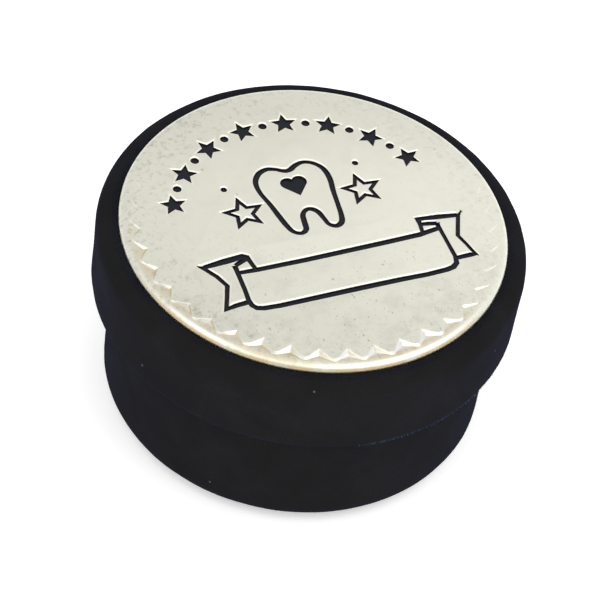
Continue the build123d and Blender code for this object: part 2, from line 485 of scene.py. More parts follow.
# The lines' chamfers are painted lighter and warmer than the plate: a painted highlight along each line.
line_chamfer = pewter(
    "line_chamfer", colour=(0.96, 0.94, 0.83, 1), shade=(0.9, 0.84, 0.66, 1), roughness=0.36,
    tan_share=0.0, painted_side_light=0.0,
)
enamel_tones = ((0.003, 0.0035, 0.006, 1), (0.009, 0.011, 0.018, 1))
line_enamel = grained(
    "stamped_enamel", scales=(5200.0, 900.0), tones=enamel_tones, rough=(0.0, 1.6), lift=0.01 * mm,
    specular=0.2,
)
plate_finishes = [plate_pewter, line_chamfer, line_enamel]
velvet = navy_velvet("navy_velvet", (0.0136, 0.0136, 0.0138, 1), (0.02, 0.02, 0.022, 1))
# The edge pile is painted bluer, and the seam fluff light blue: painted sheen where the pile catches the
# light.
sheen_tips_velvet = navy_velvet("navy_velvet_tips", (0.009, 0.02, 0.042, 1), (0.02, 0.042, 0.09, 1))
sheen_fluff_velvet = navy_velvet("navy_velvet_fluff", (0.045, 0.07, 0.135, 1), (0.18, 0.25, 0.38, 1))
felt = black_felt()
cushion_satin = ivory_satin("cushion_satin", from_own_map=False)
lining_satin = ivory_satin("lining_satin", from_own_map=True)
shell_tones = ((0.012, 0.012, 0.016, 1), (0.024, 0.024, 0.03, 1))
shell_plastic = grained(
    "moulded_shell", scales=(4200.0, 260.0), tones=shell_tones, rough=(-0.6, 1.4), lift=0.02 * mm,
    specular=0.4,
)
card = grey_card()
foam = pad_foam()
tape = tape_scrim()


# Stamped plate

scallop_count = 40
steps_per_scallop = 30
plate_steps = scallop_count * steps_per_scallop
plate_radius = plate_high.x
field_top = plate_high.z
border_drop, notch_drop = 0.14 * mm, 0.13 * mm
plate_bottom = plate_low.z
lip_inside = plate_radius - 1.0 * mm
sheet_under = plate_bottom + 0.25 * mm
edge_round, edge_fall = 1.15 * mm, 0.72 * mm
scallop_turn = math.radians(1.35)
scallop_reach = 21.6 * mm
scallop_round = 0.72 * mm
notch_reach, tan_and_shade_border_end = 21.2 * mm, 21.3 * mm
field_cusp, field_cusp_front = 20.1 * mm, 19.65 * mm
foot_cusp, foot_cusp_front = 20.42 * mm, 20.55 * mm


def eased(value, low, high):
    """0 up to low and 1 from high on, with a soft rise between them."""
    share = np.clip((value - low) / (high - low), 0, 1)
    return share * share * (3 - 2 * share)


def front_share(angles, left, left_full, right_full, right):
    """1 on the front of the plate between two angles in degrees, and 0 outside the outer two."""
    turns = (np.degrees(angles) + 240) % 360 - 240
    return eased(turns, left, left_full) * (1 - eased(turns, right_full, right))


def scallop_outline(angles, middle_cusps, seed, cusp_play, reach_play):
    """Distance from the middle to a ring of scallops with straight sides and round tips.

    The sides of a scallop aim at one point, and each scallop and cusp is a little its own.
    """
    draw = random.Random(seed)
    cusps = [cusp + draw.uniform(-cusp_play, cusp_play) for cusp in middle_cusps]
    points = [scallop_reach + draw.uniform(-reach_play, reach_play) for _ in range(scallop_count)]
    half = math.pi / scallop_count
    radii = []
    for angle in angles:
        number = round(angle / (2 * half))
        turn = abs(angle - number * 2 * half)
        inner = cusps[(number if angle > number * 2 * half else number - 1) % scallop_count]
        point = points[number % scallop_count]
        side = math.atan2(inner * math.sin(half), point - inner * math.cos(half))
        middle = point - scallop_round / math.sin(side)
        round_end = math.atan2(scallop_round * math.cos(side), middle + scallop_round * math.sin(side))
        if turn < round_end:
            depth = math.sqrt(scallop_round**2 - (middle * math.sin(turn)) ** 2)
            radii.append(middle * math.cos(turn) + depth)
        else:
            radii.append(point * math.sin(side) / math.sin(side + turn))
    return np.array(radii)


plate_angles = even_angles(plate_steps)
cusp_angles = (np.arange(scallop_count) + 0.5) * full_turn / scallop_count + scallop_turn
cusps_at_front = front_share(cusp_angles, -146, -130, -75, -55)
foot_cusps = foot_cusp + (foot_cusp_front - foot_cusp) * cusps_at_front
field_cusps = field_cusp + (field_cusp_front - field_cusp) * cusps_at_front
field_edge = scallop_outline(
    plate_angles, field_cusps, seed=4, cusp_play=0.1 * mm, reach_play=0.04 * mm
)
field_foot = scallop_outline(
    plate_angles, foot_cusps, seed=9, cusp_play=0.08 * mm, reach_play=0.02 * mm
)
field_foot = np.maximum(field_foot, field_edge + 0.05 * mm)
struck = 0.3 + 0.7 * front_share(plate_angles + scallop_turn, -200, -172, -72, -38)
from_middle = np.abs((plate_angles * scallop_count / full_turn + 0.5) % 1 - 0.5) * 2
notch = eased(from_middle, 0.1, 1.0)
border_level = field_top - border_drop * struck
foot_level = border_level - notch_drop * struck * notch
notch_end = np.maximum(field_foot + 0.14 * mm, notch_reach)


def plate_blank(name):
    """The plate before its lines are stamped: scalloped field, rolled edge and turned-down lip.

    A notch is sunk between each two scallops. All are struck deepest at the front.
    """
    drop = field_top - foot_level
    rings = [(field_edge - 0.5 * mm, field_top), (field_edge - 0.1 * mm, field_top)]
    rings.append((field_edge - 0.03 * mm, field_top - 0.05 * drop))
    for share in (0.08, 0.2, 0.36, 0.52, 0.68, 0.82, 0.94):
        fall = share + 0.05 * math.sin(full_turn * share)
        reach = field_edge + (field_foot - field_edge) * share
        rings.append((reach, field_top - drop * (0.08 + 0.86 * fall)))
    rings.append((field_foot + 0.025 * mm, foot_level + 0.016 * drop))
    rings.append((field_foot + 0.06 * mm, foot_level))
    rings.append(((field_foot + notch_end) / 2 + 0.03 * mm, (foot_level + border_level) / 2))
    rings.append((notch_end, border_level))
    for turn in np.radians(np.linspace(90, 0, 14)):
        reach = plate_radius - edge_round * (1 - math.cos(turn))
        height = border_level - edge_fall * (1 - math.sin(turn))
        rings.append((np.maximum(reach, notch_end + 0.05 * mm), height))
    rings.append((plate_radius, plate_bottom + 0.06 * mm))
    rings.append((plate_radius - 0.06 * mm, plate_bottom))
    rings.append((lip_inside, plate_bottom))
    rings.append((lip_inside, sheet_under))
    blank = turned(name, rings, plate_finishes, plate_steps)
    mesh = blank.data
    shape = bmesh.new()
    shape.from_mesh(mesh)
    bmesh.ops.holes_fill(shape, edges=[e for e in shape.edges if e.is_boundary])
    bmesh.ops.recalc_face_normals(shape, faces=shape.faces)
    shape.to_mesh(mesh)
    shape.free()
    mesh.transform(Matrix.Rotation(scallop_turn, 4, "Z"))
    return blank


# The stamped lines, in millimetres from the middle of the plate

line_width = 0.62
line_depth = 0.3


def smooth_path(corners, parts):
    """A closed curve through the corners, as a list of points, with parts of them for each corner."""
    count = len(corners)
    points = []
    for k in range(count):
        a, b, c, d = (corners[(k + o) % count] for o in (-1, 0, 1, 2))
        for part in range(parts):
            t = part / parts
            bend = (2 * a - 5 * b + 4 * c - d) * t * t
            points.append(0.5 * (2 * b + (c - a) * t + bend + (3 * b - a - 3 * c + d) * t**3))
    return points


def side_points(path, offset, closed):
    """The path moved sideways by offset (one number for each point), its corners mitred."""
    moved = []
    count = len(path)
    for k, point in enumerate(path):
        before = path[(k - 1) % count] if closed or k > 0 else None
        after = path[(k + 1) % count] if closed or k < count - 1 else None
        into = (point - before).normalized() if before is not None else (after - point).normalized()
        out = (after - point).normalized() if after is not None else into
        normal = Vector((-into.y - out.y, into.x + out.x))
        normal.normalize()
        reach = max(normal.dot(Vector((-into.y, into.x))), 0.3)
        moved.append(point + normal * offset[k] / reach)
    return moved


def cutter_levels(shoulder):
    """Heights over the face, how far the cut lies outside the line's edge there, and its narrowing."""
    return (
        (0.012, 0.42 * shoulder, 1.0),
        (-0.006, 0.28 * shoulder, 1.0),
        (-0.022, 0.18 * shoulder, 1.0),
        (-0.05, 0.1 * shoulder, 1.0),
        (-0.085, 0.045 * shoulder, 1.0),
        (-0.13, 0.0, 1.0),
        (-line_depth, 0.0, 0.8),
    )


def line_cutter(name, path, widths, closed, shoulder):
    """A solid that cuts one stamped line: a soft shoulder above, steep walls below."""
    path = [Vector(p) for p in path]
    widths = [widths] * len(path) if isinstance(widths, (int, float)) else widths
    points, levels = [], []
    for height, outside, narrow in cutter_levels(shoulder):
        offset = [w / 2 * narrow + outside for w in widths]
        left = side_points(path, offset, closed)
        right = side_points(path, [-o for o in offset], closed)
        levels.append((len(points), len(points) + len(left)))
        points += [(p.x * mm, p.y * mm, field_top + height * mm) for p in left + right]
    count = len(path)
    faces = []
    spans = [(k, (k + 1) % count) for k in range(count if closed else count - 1)]
    top_left, top_right = levels[0]
    low_left, low_right = levels[-1]
    for a, b in spans:
        faces.append((top_left + a, top_left + b, top_right + b, top_right + a))
        faces.append((low_left + a, low_right + a, low_right + b, low_left + b))
        for (upper_left, upper_right), (lower_left, lower_right) in zip(levels, levels[1:]):
            faces.append((upper_left + a, lower_left + a, lower_left + b, upper_left + b))
            faces.append((upper_right + a, upper_right + b, lower_right + b, lower_right + a))
    if not closed:
        for end in (0, count - 1):
            for (upper_left, upper_right), (lower_left, lower_right) in zip(levels, levels[1:]):
                faces.append((upper_left + end, upper_right + end, lower_right + end, lower_left + end))
    return finish_cutter(mesh_piece(name, points, faces, plate_finishes))


def mark_cutter(name, outline, shoulder=0.7):
    """A solid that cuts one filled mark, such as a star, given its outline round the middle."""
    path = [Vector(p) for p in outline]
    points = []
    for height, outside, narrow in cutter_levels(shoulder):
        offset = [-(outside - (1 - narrow) * 0.15)] * len(path)
        points += [(p.x * mm, p.y * mm, field_top + height * mm) for p in side_points(path, offset, True)]
    count = len(path)
    levels = len(cutter_levels(shoulder))
    faces = [tuple(range(count)), tuple(range((levels - 1) * count, levels * count))]
    for level in range(levels - 1):
        faces += strip(level * count, count, (level + 1) * count, count)
    return finish_cutter(mesh_piece(name, points, faces, plate_finishes))


def finish_cutter(cutter):
    """The chamfer's faces cut to metal painted lighter as a highlight, the soft fall above it to plain, the
    others to enamel.
    """
    for face in cutter.data.polygons:
        flatness = abs(face.normal.z)
        if 0.98 < flatness < 0.9995:
            face.material_index = 0
        else:
            face.material_index = 1 if 0.5 < flatness <= 0.98 else 2
    return cutter


def star_outline(points, outer, inner):
    """The corners of a star round the middle, the first one a point straight up."""
    turns = [math.pi / 2 + k * math.pi / points for k in range(2 * points)]
    return [(reach * math.cos(t), reach * math.sin(t)) for reach, t in zip([outer, inner] * points, turns)]


def round_outline(radius, count):
    return [(radius * math.cos(t), radius * math.sin(t)) for t in np.linspace(0, full_turn, count, False)]


def heart_half(middle, width, side):
    """Half of a heart, a round lobe that runs to the tip; the two halves overlap down the middle."""
    lobe, radius, tip = Vector((side * 0.24, 0.16)), 0.29, Vector((0.0, -0.56))
    away = lobe - tip
    spread = math.acos(radius / away.length)
    start = math.atan2(-away.y, -away.x)
    turns = np.linspace(start + spread, start - spread + full_turn, 22)
    outline = [tip] + [lobe + Vector((radius * math.cos(t), radius * math.sin(t))) for t in turns]
    return [Vector(middle) + p * width for p in outline]


def banner_cutters():
    """A ribbon with its name band left bare, its two ends folded behind and notched.

    Each line is a list of places and of how wide the line is there.
    """
    lines = {
        "cut_band": [
            (-11.5, -4.2, 0.5), (-11.62, -6.0, 0.46), (-11.75, -8.0, 0.46), (-11.92, -9.5, 0.5),
            (-11.83, -10.3, 0.55), (-11.45, -10.82, 0.58), (-10.7, -11.06, 0.6), (-8.8, -11.19, 0.6),
            (0.5, -11.22, 0.64), (5.8, -11.28, 0.6), (9.3, -11.4, 0.56), (11.75, -11.32, 0.56),
            (12.6, -11.15, 0.55), (13.25, -10.65, 0.48), (13.52, -9.7, 0.42), (13.57, -7.6, 0.38),
            (13.61, -5.8, 0.38), (13.62, -4.25, 0.46),
        ],
        "cut_band_top": [
            (-11.5, -5.25, 0.5), (-9.3, -5.37, 0.58), (-3.4, -5.46, 0.6), (6.2, -5.42, 0.6),
            (10.9, -5.36, 0.58), (13.5, -5.0, 0.5),
        ],
        "cut_left_tail": [
            (-15.3, -3.42, 0.3), (-14.8, -3.38, 0.56), (-12.42, -3.17, 0.78), (-10.15, -3.0, 0.74),
            (-9.68, -3.25, 0.6), (-9.55, -4.06, 0.46), (-9.4, -5.2, 0.46),
        ],
        "cut_left_end": [
            (-15.62, -3.02, 0.1), (-15.35, -3.26, 0.34), (-15.02, -3.55, 0.46), (-14.03, -5.17, 0.48),
            (-13.42, -6.78, 0.46), (-14.1, -8.4, 0.42), (-14.83, -10.05, 0.42), (-13.64, -9.84, 0.56),
            (-12.2, -9.72, 0.6), (-11.85, -9.7, 0.6),
        ],
        "cut_left_fold": [(-11.5, -4.15, 0.5), (-10.89, -3.84, 0.55), (-9.8, -3.5, 0.4)],
        "cut_right_tail": [
            (11.4, -5.2, 0.36), (11.66, -3.9, 0.4), (11.72, -3.02, 0.5), (14.2, -3.3, 0.6),
            (16.5, -3.66, 0.5),
        ],
        "cut_right_end": [
            (17.2, -3.2, 0.1), (16.62, -3.68, 0.36), (15.9, -5.2, 0.38), (15.2, -6.72, 0.38),
            (15.62, -8.3, 0.34), (15.88, -9.6, 0.34), (16.25, -10.36, 0.1),
        ],
        "cut_right_foot": [(16.0, -10.02, 0.3), (15.4, -9.92, 0.55), (13.55, -9.95, 0.5)],
        "cut_right_fold": [(11.75, -3.88, 0.45), (12.7, -4.02, 0.5), (13.6, -4.25, 0.5)],
    }
    cutters = []
    for name, places in lines.items():
        path = [(x, y + 0.07) for x, y, width in places]
        widths = [width * (1.2 + 0.004 * x) for x, y, width in places]
        cutters.append(line_cutter(name, path, widths, closed=False, shoulder=0.76))
    return cutters


def tooth_cutters():
    """A milk tooth in outline, standing upright with a small heart in it and a star on each side."""
    middle = Vector((0.0, 4.3))
    half = [
        (0.0, 4.25), (0.55, 4.4), (1.3, 4.85), (2.35, 5.1), (3.5, 4.6), (4.3, 3.4), (4.4, 1.7), (4.0, -0.3),
        (3.7, -2.3), (3.4, -4.1), (3.0, -5.2), (2.2, -5.65), (1.45, -5.2), (1.2, -4.1), (1.0, -3.1),
        (0.6, -2.5), (0.0, -2.25),
    ]
    right = [Vector(p) for p in half]
    left = [Vector((-x, y)) for x, y in half[-2:0:-1]]
    outline = smooth_path([p + middle for p in right + left], parts=4)
    widths = [line_width * (1.0 + 0.1 * math.sin(k * 0.35)) for k in range(len(outline))]
    cutters = [line_cutter("cut_tooth", outline, widths, closed=True, shoulder=0.7)]
    for name, side in (("cut_heart_left", -1), ("cut_heart_right", 1)):
        heart = heart_half((middle.x, middle.y + 1.75), 3.0, side)
        cutters.append(mark_cutter(name, heart, shoulder=0.5))
    for name, side in (("cut_left_sparkle", -1), ("cut_right_sparkle", 1)):
        path = [Vector(p) + Vector((side * 7.4, 3.4)) for p in star_outline(5, outer=2.15, inner=0.98)]
        cutters.append(line_cutter(name, path, 0.45, closed=True, shoulder=0.72))
        spot = [(x + side * 8.3, y + 7.6) for x, y in round_outline(0.38, 12)]
        cutters.append(mark_cutter(name + "_dot", spot))
    return cutters


# Geometry Nodes


def new_geometry_tree(name, **labels):
    """A geometry tree with a geometry input and output, and inputs of its own, listed by kind."""
    tree = bpy.data.node_groups.new(name, "GeometryNodeTree")
    tree.interface.new_socket("Geometry", in_out="INPUT", socket_type="NodeSocketGeometry")
    for kind, own in labels.items():
        for label in own:
            tree.interface.new_socket(label, in_out="INPUT", socket_type="NodeSocket" + kind)
    tree.interface.new_socket("Geometry", in_out="OUTPUT", socket_type="NodeSocketGeometry")
    return tree, tree.nodes.new("NodeGroupInput").outputs, tree.nodes.new("NodeGroupOutput").inputs


def run_tree(piece, tree, values, name):
    """The piece as the tree makes it with these values, frozen to a plain mesh."""
    modifier = piece.modifiers.new(tree.name, "NODES")
    modifier.node_group = tree
    for item in tree.interface.items_tree:
        if item.in_out == "INPUT" and item.name in values:
            modifier[item.identifier] = values[item.name]
    return frozen(piece, name)


def end_tree(tree, given, out, **values):
    """The end of every tree here: copies placed by these values, made real and given their finish."""
    copies = add_node(tree, "GeometryNodeInstanceOnPoints", **values)
    real = add_node(tree, "GeometryNodeRealizeInstances", Geometry=copies.outputs["Instances"])
    finish = add_node(
        tree, "GeometryNodeSetMaterial", Geometry=real.outputs["Geometry"], Material=given["Finish"]
    )
    feed(out["Geometry"], finish.outputs["Geometry"])


def make_arc_tree():
    """Copies of a mark along an arc round the plate's middle, each one turned to stand on it."""
    tree, given, out = new_geometry_tree(
        "marks_on_an_arc", Object=("Mark",), Int=("Count",), Material=("Finish",),
        Float=("Arc radius", "First angle", "Angle step"),
    )
    line = add_node(tree, "GeometryNodeMeshLine", Count=given["Count"])
    index = Wire(add_node(tree, "GeometryNodeInputIndex").outputs[0])
    angle = index * given["Angle step"] + given["First angle"]
    x, y = (angle.maths(wave) * given["Arc radius"] for wave in ("COSINE", "SINE"))
    place = add_node(tree, "ShaderNodeCombineXYZ", X=x, Y=y)
    moved = add_node(
        tree, "GeometryNodeSetPosition", Geometry=line.outputs["Mesh"], Position=place.outputs[0]
    )
    turn = add_node(tree, "ShaderNodeCombineXYZ", Z=angle - math.pi / 2)
    mark = add_node(tree, "GeometryNodeObjectInfo", {"transform_space": "ORIGINAL"}, Object=given["Mark"])
    end_tree(
        tree, given, out, Points=moved.outputs["Geometry"], Instance=mark.outputs["Geometry"],
        Rotation=turn.outputs[0],
    )
    return tree


def arc_of_marks():
    """Stars with small dots between them, on the arc over the tooth."""
    tree = make_arc_tree()
    cutters = []
    star = mark_cutter("star_mark", star_outline(5, outer=1.62, inner=0.72))
    dot = mark_cutter("dot_mark", round_outline(0.5, 14))
    step, arc_radius = math.radians(18.6), 16.3 * mm
    for mark, name, count, first in ((star, "cut_stars", 8, 0.0), (dot, "cut_dots", 7, 0.5)):
        carrier = new_object(name + "_seed", bpy.data.meshes.new(name + "_seed"))
        values = {
            "Mark": mark, "Count": count, "Arc radius": arc_radius, "Angle step": step,
            "First angle": math.radians(90) - step * (3.5 - first), "Finish": line_enamel,
        }
        copies = run_tree(carrier, tree, values, name)
        copies.data.materials.clear()
        for finish in plate_finishes:
            copies.data.materials.append(finish)
        cutters.append(finish_cutter(copies))
    bpy.data.objects.remove(star)
    bpy.data.objects.remove(dot)
    return cutters


def stamp_plate():
    """The blank with every line cut into it, and its patina, painted shade and painted highlights marked."""
    blank = plate_blank("plate_blank")
    cutters = banner_cutters() + tooth_cutters() + arc_of_marks()
    box = bpy.data.collections.new("line_cutters")
    bpy.context.scene.collection.children.link(box)
    for cutter in cutters:
        bpy.context.scene.collection.objects.unlink(cutter)
        box.objects.link(cutter)
    cut = blank.modifiers.new("stamping", "BOOLEAN")
    cut.operation = "DIFFERENCE"
    cut.operand_type = "COLLECTION"
    cut.collection = box
    cut.solver = "MANIFOLD"
    cut.material_mode = "TRANSFER"
    plate = frozen(blank, "stamped_plate")
    for cutter in cutters:
        bpy.data.objects.remove(cutter)
    bpy.data.collections.remove(box)
    mark_patina_and_light(plate)
    return plate


def sharpen_lines(mesh):
    """Sharp shading wherever two finishes meet or the surface turns a hard corner."""
    shape = bmesh.new()
    shape.from_mesh(mesh)
    for edge in shape.edges:
        sides = {face.material_index for face in edge.link_faces}
        hard = len(edge.link_faces) == 2 and edge.calc_face_angle() > math.radians(28)
        edge.smooth = len(sides) == 1 and not hard
    shape.to_mesh(mesh)
    shape.free()


def bell(value, width):
    """1 where the value is 0, falling away within about the width on both sides."""
    return np.exp(-((value / width) ** 2))


def mark_patina_and_light(plate):
    """Attributes for the finish: patina and painted shade at the foot of the scallops, on the border and the
    lip, and painted highlights on the high edges that face the lights.
    """
    mesh = plate.data
    flat = np.empty(len(mesh.vertices) * 3)
    mesh.vertices.foreach_get("co", flat)
    x, y, z = flat.reshape(-1, 3).T
    radius = np.hypot(x, y)
    turn = (np.arctan2(y, x) - scallop_turn) % full_turn
    edge, foot, level, low = (
        np.interp(turn, plate_angles, ring, period=full_turn)
        for ring in (field_edge, field_foot, border_level, foot_level)
    )
    half = math.pi / scallop_count
    angle = turn + scallop_turn
    draw = random.Random(31)
    valley_stain = np.array([draw.uniform(0.1, 1.0) for _ in range(scallop_count)])
    valley_sway = np.array([draw.uniform(-0.12, 0.12) * mm for _ in range(scallop_count)])
    number = np.floor(turn / (2 * half)).astype(int) % scallop_count
    sway = valley_sway[number] * np.sin((radius - edge) / (0.35 * mm))
    across = ((turn % (2 * half)) - half) * radius - sway
    past_edge = (radius - edge) / np.maximum(foot - edge, 1e-6)
    inside = (radius > edge) * (radius < scallop_reach)
    valley = bell(across, 0.085 * mm) * inside
    at_front = front_share(angle, -150, -136, -88, -64)
    at_left = front_share(angle, -200, -180, -150, -132)
    at_right = front_share(angle, -95, -80, -62, -44)
    rising = across > 0
    from_tip = (half - np.abs((turn % (2 * half)) - half)) * radius
    tip = bell(from_tip, 0.45 * mm)
    near_foot = bell(radius - foot, 0.09 * mm) * (z < low + 0.09 * mm) * (1 - 0.8 * tip)
    near_edge = bell(past_edge - 0.5, 0.25) * inside
    slope = np.clip((radius - edge) / (0.04 * mm) + 1, 0, 1) * np.clip((foot - radius) / (0.08 * mm), 0, 1)
    slope *= (z > low + 0.02 * mm) * (1 - 0.8 * valley)
    # Tan at the foot of the scallops and in their valleys: patina, with painted shade, strongest at the front
    # and right.
    stain_and_shade = near_foot * (0.5 * at_front + 0.35 * at_right + 0.3 * at_left)
    valley_share = 0.95 * at_front + 1.2 * at_right * (past_edge < 1.1) + 0.3 * at_left
    stain_and_shade += valley * valley_stain[number] * valley_share
    # Painted shade: a tan line on the left, on the sides that face away from the lights.
    stain_and_shade += near_edge * rising * front_share(angle, -230, -200, -150, -132) * 1.6
    # The border is tan at the front and the sides: patina and painted shade, which narrows the rim's
    # highlight.
    border = np.maximum(1 - eased(level - z, 0.03 * mm, 0.13 * mm), radius < tan_and_shade_border_end)
    border *= radius > foot
    stain_and_shade += border * 0.36 * (at_front + at_left + at_right)
    # Painted shade on the rising sides at the front.
    stain_and_shade += slope * rising * at_front * 0.22
    # The low lip is tan at the front: patina and painted shade.
    lip_tan_and_shade = eased(level - z, 0.2 * mm, 0.4 * mm) * front_share(angle, -185, -152, -72, -48)
    rim_band = eased(level - z, 0.03 * mm, 0.1 * mm) * (1 - eased(level - z, 0.14 * mm, 0.24 * mm))
    rim_band *= radius > foot
    # Painted shade on the middle of the front rim, where the lights fall brightest.
    rim_shade = rim_band * front_share(angle, -140, -131, -116, -108)
    crease = np.clip(stain_and_shade + lip_tan_and_shade + 0.6 * rim_shade, 0, 1)
    # Painted highlights, pale and smooth, on the sides, tips and rim that face the lights.
    falling_highlight = bell(past_edge - 0.3, 0.3) * ~rising * inside
    ridge = slope * at_front * np.where(rising, 0.1, 1.0) * (1 - tip)
    ridge += slope * at_right * rising
    ridge += falling_highlight * at_left * (0.5 + 0.5 * tip)
    # Painted highlight on the scallop tips at the left and right.
    cap = tip * bell(radius - foot - 0.04 * mm, 0.1 * mm) * (radius > edge - 0.02 * mm)
    ridge += cap * (0.9 * at_left + 0.7 * at_right)
    # Painted highlight along the rim, to each side of the front.
    rim_highlight_share = front_share(angle, -165, -152, -142, -134) + front_share(angle, -110, -102, -70, -50)
    ridge += 0.75 * rim_band * rim_highlight_share
    for name, values in (("crease", crease), ("ridge", np.clip(ridge, 0, 1))):
        attribute = mesh.attributes.new(name, "FLOAT", "POINT")
        attribute.data.foreach_set("value", values)
    sharpen_lines(mesh)


# Velvet

velvet_thickness = 0.5 * mm
cloth_gap = 0.9 * mm


def velvet_skin(name, outline, steps, loop, pleats):
    """Velvet turned on the outline, softly uneven; pleats(r, z, angle) adds what the hem gathers."""
    angles = even_angles(steps)
    rings = []
    for r, z in outline:
        if r == 0:
            rings.append((0, z))
            continue
        radius = []
        for a in angles:
            spot = (r * math.cos(a), r * math.sin(a), z)
            uneven = ruffle(spot, 4 * mm, 0.05 * mm), ruffle(spot, 1.3 * mm, 0.02 * mm)
            radius.append(r + uneven[0] + uneven[1] + pleats(r, z, a))
        rings.append((np.array(radius), z))
    return turned(name, rings, [velvet], steps, loop)


def hem_pleats(inner, depth, folds):
    """Small tucks where the cloth is turned in, only on the face that looks inward."""
    def pleats(r, z, angle):
        if abs(r - inner) > 0.12 * mm:
            return 0.0
        wave = math.sin(folds * angle + 2.2 * math.sin(5 * angle)) * 0.5 + 0.5
        return -depth * wave**3
    return pleats


def lid_wrap():
    """Velvet over the lid's cap: across its top, down its skirt, round its edge and up inside."""
    skin = velvet_thickness
    outer, top, bottom = lid_high.x, lid_high.z, lid_low.z
    inner = outer - 2.05 * mm
    shoulder, fold = 1.72 * mm, 0.975 * mm
    hem_top = top - 3.0 * mm
    path = [(0, top), (plate_radius - 0.4 * mm, top), (plate_radius + 0.4 * mm, top + 0.05 * mm)]
    path += arc((outer - shoulder, top - shoulder), shoulder, 84, 0, 16)
    path += arc((outer - fold, bottom + fold), fold, 0, -90, 12)
    path += arc((inner + fold, bottom + fold), fold, -90, -180, 12)
    path += [(inner, hem_top - 0.1 * mm), (inner + 0.1 * mm, hem_top)]
    path += [(inner + skin - 0.1 * mm, hem_top), (inner + skin, hem_top - 0.1 * mm)]
    path += arc((inner + fold, bottom + fold), fold - skin, 180, 270, 6)
    path += arc((outer - fold, bottom + fold), fold - skin, -90, 0, 6)
    path += arc((outer - shoulder, top - shoulder), shoulder - skin, 0, 90, 10)
    path += [(0, top - skin)]
    hem = hem_pleats(inner, depth=0.09 * mm, folds=46)
    return velvet_skin("lid_velvet_wrap", spaced(path, cloth_gap), steps=420, loop=False, pleats=hem)


def base_wrap():
    """Velvet round the base's cup: up its side, over its rim and in, and turned under its floor.

    Its pile stands fuller below the lid, most of all on one side, where nothing presses it.
    """
    skin = velvet_thickness
    outer, top, bottom = base_high.x, base_high.z, base_low.z
    corner = 2.75 * mm
    inner = 20.4 * mm
    hem_bottom = top - 5.5 * mm
    under_hem = 17.7 * mm
    rim = (outer - inner) / 2 - 0.05 * mm
    path = [(inner, hem_bottom + 0.1 * mm)]
    path += arc((inner + rim, top - rim), rim, 180, 90, 12)
    path += arc((outer - rim, top - rim), rim, 90, 0, 12)
    path += arc((outer - corner, bottom + corner), corner, 0, -90, 16)
    path += [(under_hem + 0.1 * mm, bottom), (under_hem, bottom + 0.1 * mm)]
    path += [(under_hem, bottom + skin - 0.1 * mm), (under_hem + 0.1 * mm, bottom + skin)]
    path += arc((outer - corner, bottom + corner), corner - skin, -90, 0, 10)
    path += arc((outer - rim, top - rim), rim - skin, 0, 90, 8)
    path += arc((inner + rim, top - rim), rim - skin, 90, 180, 8)
    path += [(inner + skin, hem_bottom + 0.1 * mm), (inner + skin - 0.1 * mm, hem_bottom)]
    path += [(inner + 0.1 * mm, hem_bottom)]
    hem = hem_pleats(inner, depth=0.05 * mm, folds=40)
    fullest = math.radians(-29.5)

    def fullness(r, z, angle):
        outside = eased(r, 19.6 * mm, 21.2 * mm)
        below_lid = float(eased(lid_low.z + 0.2 * mm - z, 0.0, 0.9 * mm) * outside)
        return hem(r, z, angle) + below_lid * (0.1 + 0.17 * math.cos(angle - fullest)) * mm

    return velvet_skin("base_velvet_wrap", spaced(path, cloth_gap), steps=400, loop=True, pleats=fullness)


def make_pile_tree():
    """Short tapered fibres on a band of the cloth between two heights and two radii.

    Only what reaches further than Least reach along Toward has fibres.
    """
    tree, given, out = new_geometry_tree(
        "pile_on_an_edge",
        Float=(
            "Density", "Band bottom", "Band top", "Least radius", "Most radius", "Least reach",
            "Fibre length", "Fibre radius",
        ),
        Vector=("Toward",), Int=("Seed",), Material=("Finish",),
    )
    seed = given["Seed"]
    position = add_node(tree, "GeometryNodeInputPosition").outputs[0]
    height = Wire(add_node(tree, "ShaderNodeSeparateXYZ", None, (position,)).outputs[2])
    radius = reach_from_axis(position)
    chosen = height.maths("GREATER_THAN", given["Band bottom"]) * height.maths("LESS_THAN", given["Band top"])
    chosen *= radius.maths("GREATER_THAN", given["Least radius"])
    chosen *= radius.maths("LESS_THAN", given["Most radius"])
    chosen *= reach_along(position, given["Toward"]).maths("GREATER_THAN", given["Least reach"])
    scatter = add_node(
        tree, "GeometryNodeDistributePointsOnFaces", Mesh=given["Geometry"], Selection=chosen,
        Density=given["Density"], Seed=seed,
    )
    fibre = add_node(
        tree, "GeometryNodeMeshCone", Vertices=3, Radius_Bottom=given["Fibre radius"],
        Depth=given["Fibre length"],
    )
    least_lean, most_lean = (-0.55, -0.55, 0.0), (0.55, 0.55, 6.28)
    lean = add_node(
        tree, "FunctionNodeRandomValue", {"data_type": "FLOAT_VECTOR"}, (least_lean, most_lean), Seed=seed
    )
    turn = add_node(
        tree, "FunctionNodeRotateRotation", {"rotation_space": "LOCAL"}, Rotation=scatter.outputs["Rotation"],
        Rotate_By=lean.outputs[0],
    )
    size = add_node(tree, "FunctionNodeRandomValue", {"data_type": "FLOAT"}, Seed=seed)
    feed(size.inputs[2], 0.55)
    feed(size.inputs[3], 1.25)
    end_tree(
        tree, given, out, Points=scatter.outputs["Points"], Instance=fibre.outputs["Mesh"],
        Rotation=turn.outputs[0], Scale=size.outputs[1],
    )
    return tree


def pile_edge(tree, cloth, name, heights, radii, density, seed, finish, toward=0.0, least_reach=-1.0):
    """Loose pile on the part of the cloth between two heights and two radii."""
    carrier = new_object(name + "_carrier", cloth.data.copy())
    turn = math.radians(toward)
    values = {
        "Density": density, "Band bottom": heights[0], "Band top": heights[1],
        "Least radius": radii[0], "Most radius": radii[1],
        "Toward": (math.cos(turn), math.sin(turn), 0.0), "Least reach": least_reach,
        "Fibre length": 0.3 * mm, "Fibre radius": 0.022 * mm, "Seed": seed, "Finish": finish,
    }
    return run_tree(carrier, tree, values, name)


